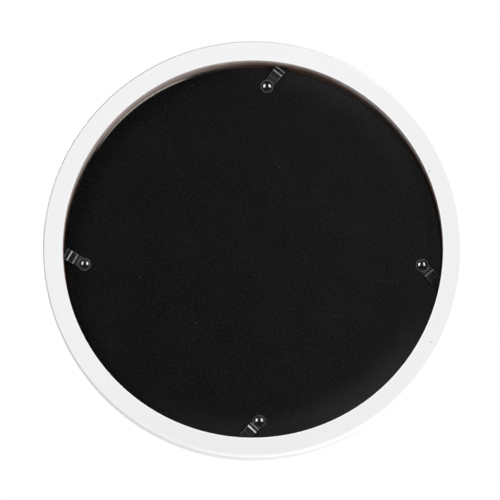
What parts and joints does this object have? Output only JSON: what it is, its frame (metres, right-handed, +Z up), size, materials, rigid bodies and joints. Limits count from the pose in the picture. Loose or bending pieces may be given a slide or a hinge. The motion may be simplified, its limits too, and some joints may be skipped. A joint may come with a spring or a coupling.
{
  "type": "round photo frame",
  "caption": "Round wall photo frame: painted ring with glass, mat and insert, closed by a backing board that spring clips on rivets hold and release by turning.",
  "frame": {"origin": "centre of the ring, halfway through its depth", "axes": "+Z up as it hangs, +Y out of the back, -Y out of the picture side; seen from behind, the viewer's left is +X, and left and right in the names are the viewer's from behind"},
  "size_m": [0.3, 0.028, 0.3],
  "materials": {
    "painted_board": "satin white paint, raw inside the rebate",
    "clear_glass": "polished clear float glass",
    "mat_card": "smooth matt white card",
    "insert_paper": "plain matt paper",
    "black_board": "black, faintly speckled, matt to satin",
    "black_spring_steel": "black oxide, oiled, semi-gloss",
    "black_rivet_steel": "gloss black"
  },
  "bodies": {
    "frame": {"frame_ring": "painted_board", "glass_pane": "clear_glass", "mat_ring": "mat_card", "insert_sheet": "insert_paper", "backing_board": "black_board", "rivet_top": "black_rivet_steel", "rivet_left": "black_rivet_steel", "rivet_right": "black_rivet_steel", "rivet_bottom": "black_rivet_steel"},
    "top_clip": {"clip_top": "black_spring_steel"},
    "left_clip": {"clip_left": "black_spring_steel"},
    "right_clip": {"clip_right": "black_spring_steel"},
    "bottom_clip": {"clip_bottom": "black_spring_steel"}
  },
  "joints": [
    {"name": "top_clip_turn", "type": "hinge", "parent": "frame", "child": "top_clip", "pos_m": [-0.01017, -0.005, 0.11999], "axis": [0, -1, 0], "range_deg": [-9.6, 303.1]},
    {"name": "left_clip_turn", "type": "hinge", "parent": "frame", "child": "left_clip", "pos_m": [0.12102, -0.005, -0.00915], "axis": [0, -1, 0], "range_deg": [-1.1, 292.9]},
    {"name": "right_clip_turn", "type": "hinge", "parent": "frame", "child": "right_clip", "pos_m": [-0.12137, -0.005, -0.01021], "axis": [0, -1, 0], "range_deg": [-8.2, 279.2]},
    {"name": "bottom_clip_turn", "type": "hinge", "parent": "frame", "child": "bottom_clip", "pos_m": [-0.00445, -0.005, -0.12252], "axis": [0, -1, 0], "range_deg": [-3.3, 273.4]}
  ]
}
